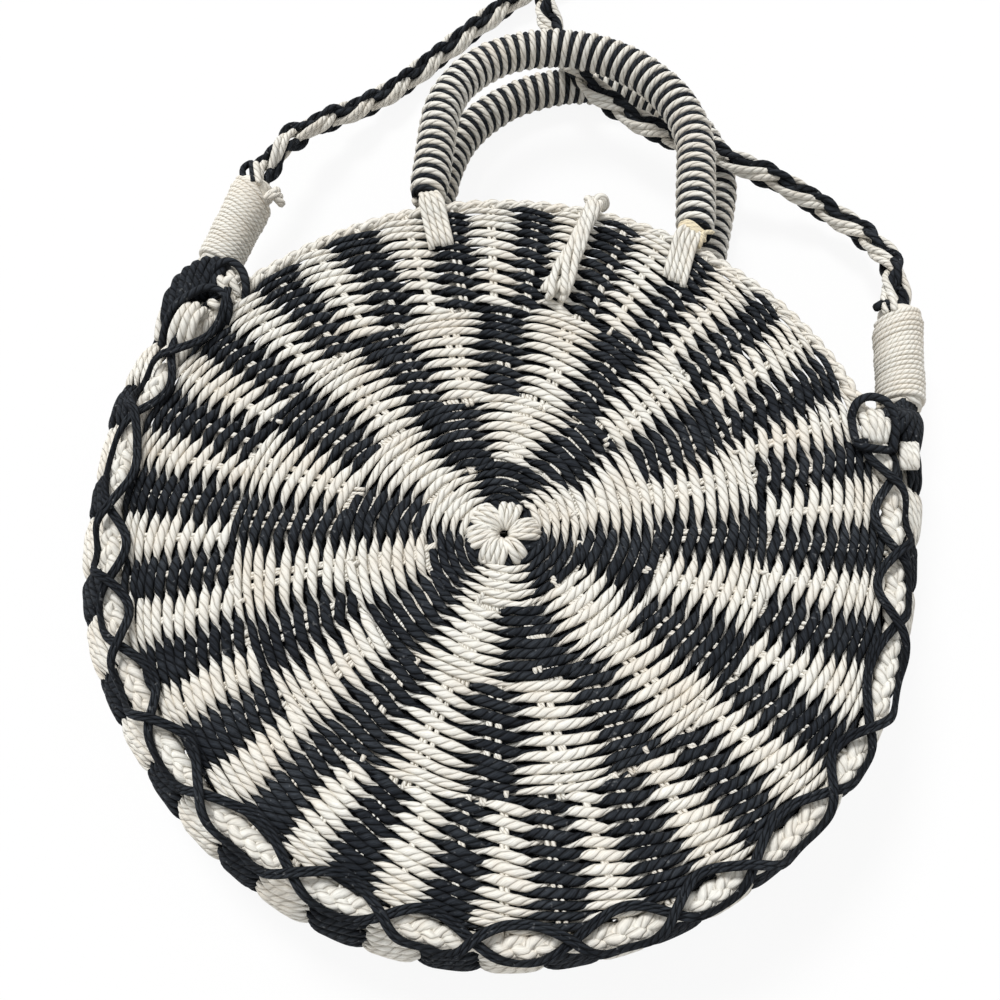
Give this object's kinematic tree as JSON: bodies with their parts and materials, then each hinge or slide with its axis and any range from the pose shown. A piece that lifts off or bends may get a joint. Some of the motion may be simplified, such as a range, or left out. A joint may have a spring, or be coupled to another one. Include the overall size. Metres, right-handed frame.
{
  "type": "circle bag",
  "caption": "Round flat tote woven from light and dark cord in radiating stripes, with laced edges, two wrapped rope handles, a closing tie and a braided shoulder strap.",
  "frame": {"origin": "middle of the back panel's outside, on the floor that the bag lies on", "axes": "+Z out of the front panel, +Y from the middle of the panels towards the mouth and the handles"},
  "size_m": [0.3585, 0.7067, 0.0653],
  "materials": {
    "light_cord": "matte cotton cord",
    "dark_cord": "matte cotton cord",
    "strap_cord": "matte braided cotton"
  },
  "bodies": {
    "bag": {"front_panel": "light_cord", "front_light_stripes": "light_cord", "front_hub_knot": "light_cord", "front_rim_braid": "light_cord", "back_panel": "light_cord", "back_light_stripes": "light_cord", "back_hub_knot": "light_cord", "back_rim_braid": "light_cord", "gusset_band": "light_cord", "gusset_light_stripes": "light_cord", "front_left_lashing": "light_cord", "front_right_lashing": "light_cord", "back_left_lashing": "light_cord", "back_right_lashing": "light_cord", "closing_tie_knot": "light_cord", "left_strap_end": "light_cord", "right_strap_end": "light_cord", "left_whipping": "light_cord", "right_whipping": "light_cord", "front_dark_stripes": "dark_cord", "front_lacing": "dark_cord", "back_dark_stripes": "dark_cord", "back_lacing": "dark_cord", "gusset_dark_stripes": "dark_cord", "left_strap_lug": "dark_cord", "right_strap_lug": "dark_cord", "left_strap_tails": "dark_cord", "right_strap_tails": "dark_cord", "shoulder_strap": "strap_cord"},
    "front_handle": {"front_handle_core": "light_cord", "front_handle_wrap": "dark_cord"},
    "back_handle": {"back_handle_core": "light_cord", "back_handle_wrap": "dark_cord"},
    "tie": {"closing_tie": "light_cord"}
  },
  "joints": [
    {"name": "front_handle_swing", "type": "hinge", "parent": "bag", "child": "front_handle", "pos_m": [-0.0005, 0.16676, 0.0525], "axis": [1, 0, 0], "range_deg": [0, 95]},
    {"name": "back_handle_swing", "type": "hinge", "parent": "bag", "child": "back_handle", "pos_m": [0.0015, 0.16388, 0.01007], "axis": [1, 0, 0], "range_deg": [-95, 0]},
    {"name": "closing_tie_swing", "type": "hinge", "parent": "bag", "child": "tie", "pos_m": [0.01478, 0.16564, 0.0615], "axis": [-0.9781, 0.2079, 0], "range_deg": [0, 165]}
  ]
}
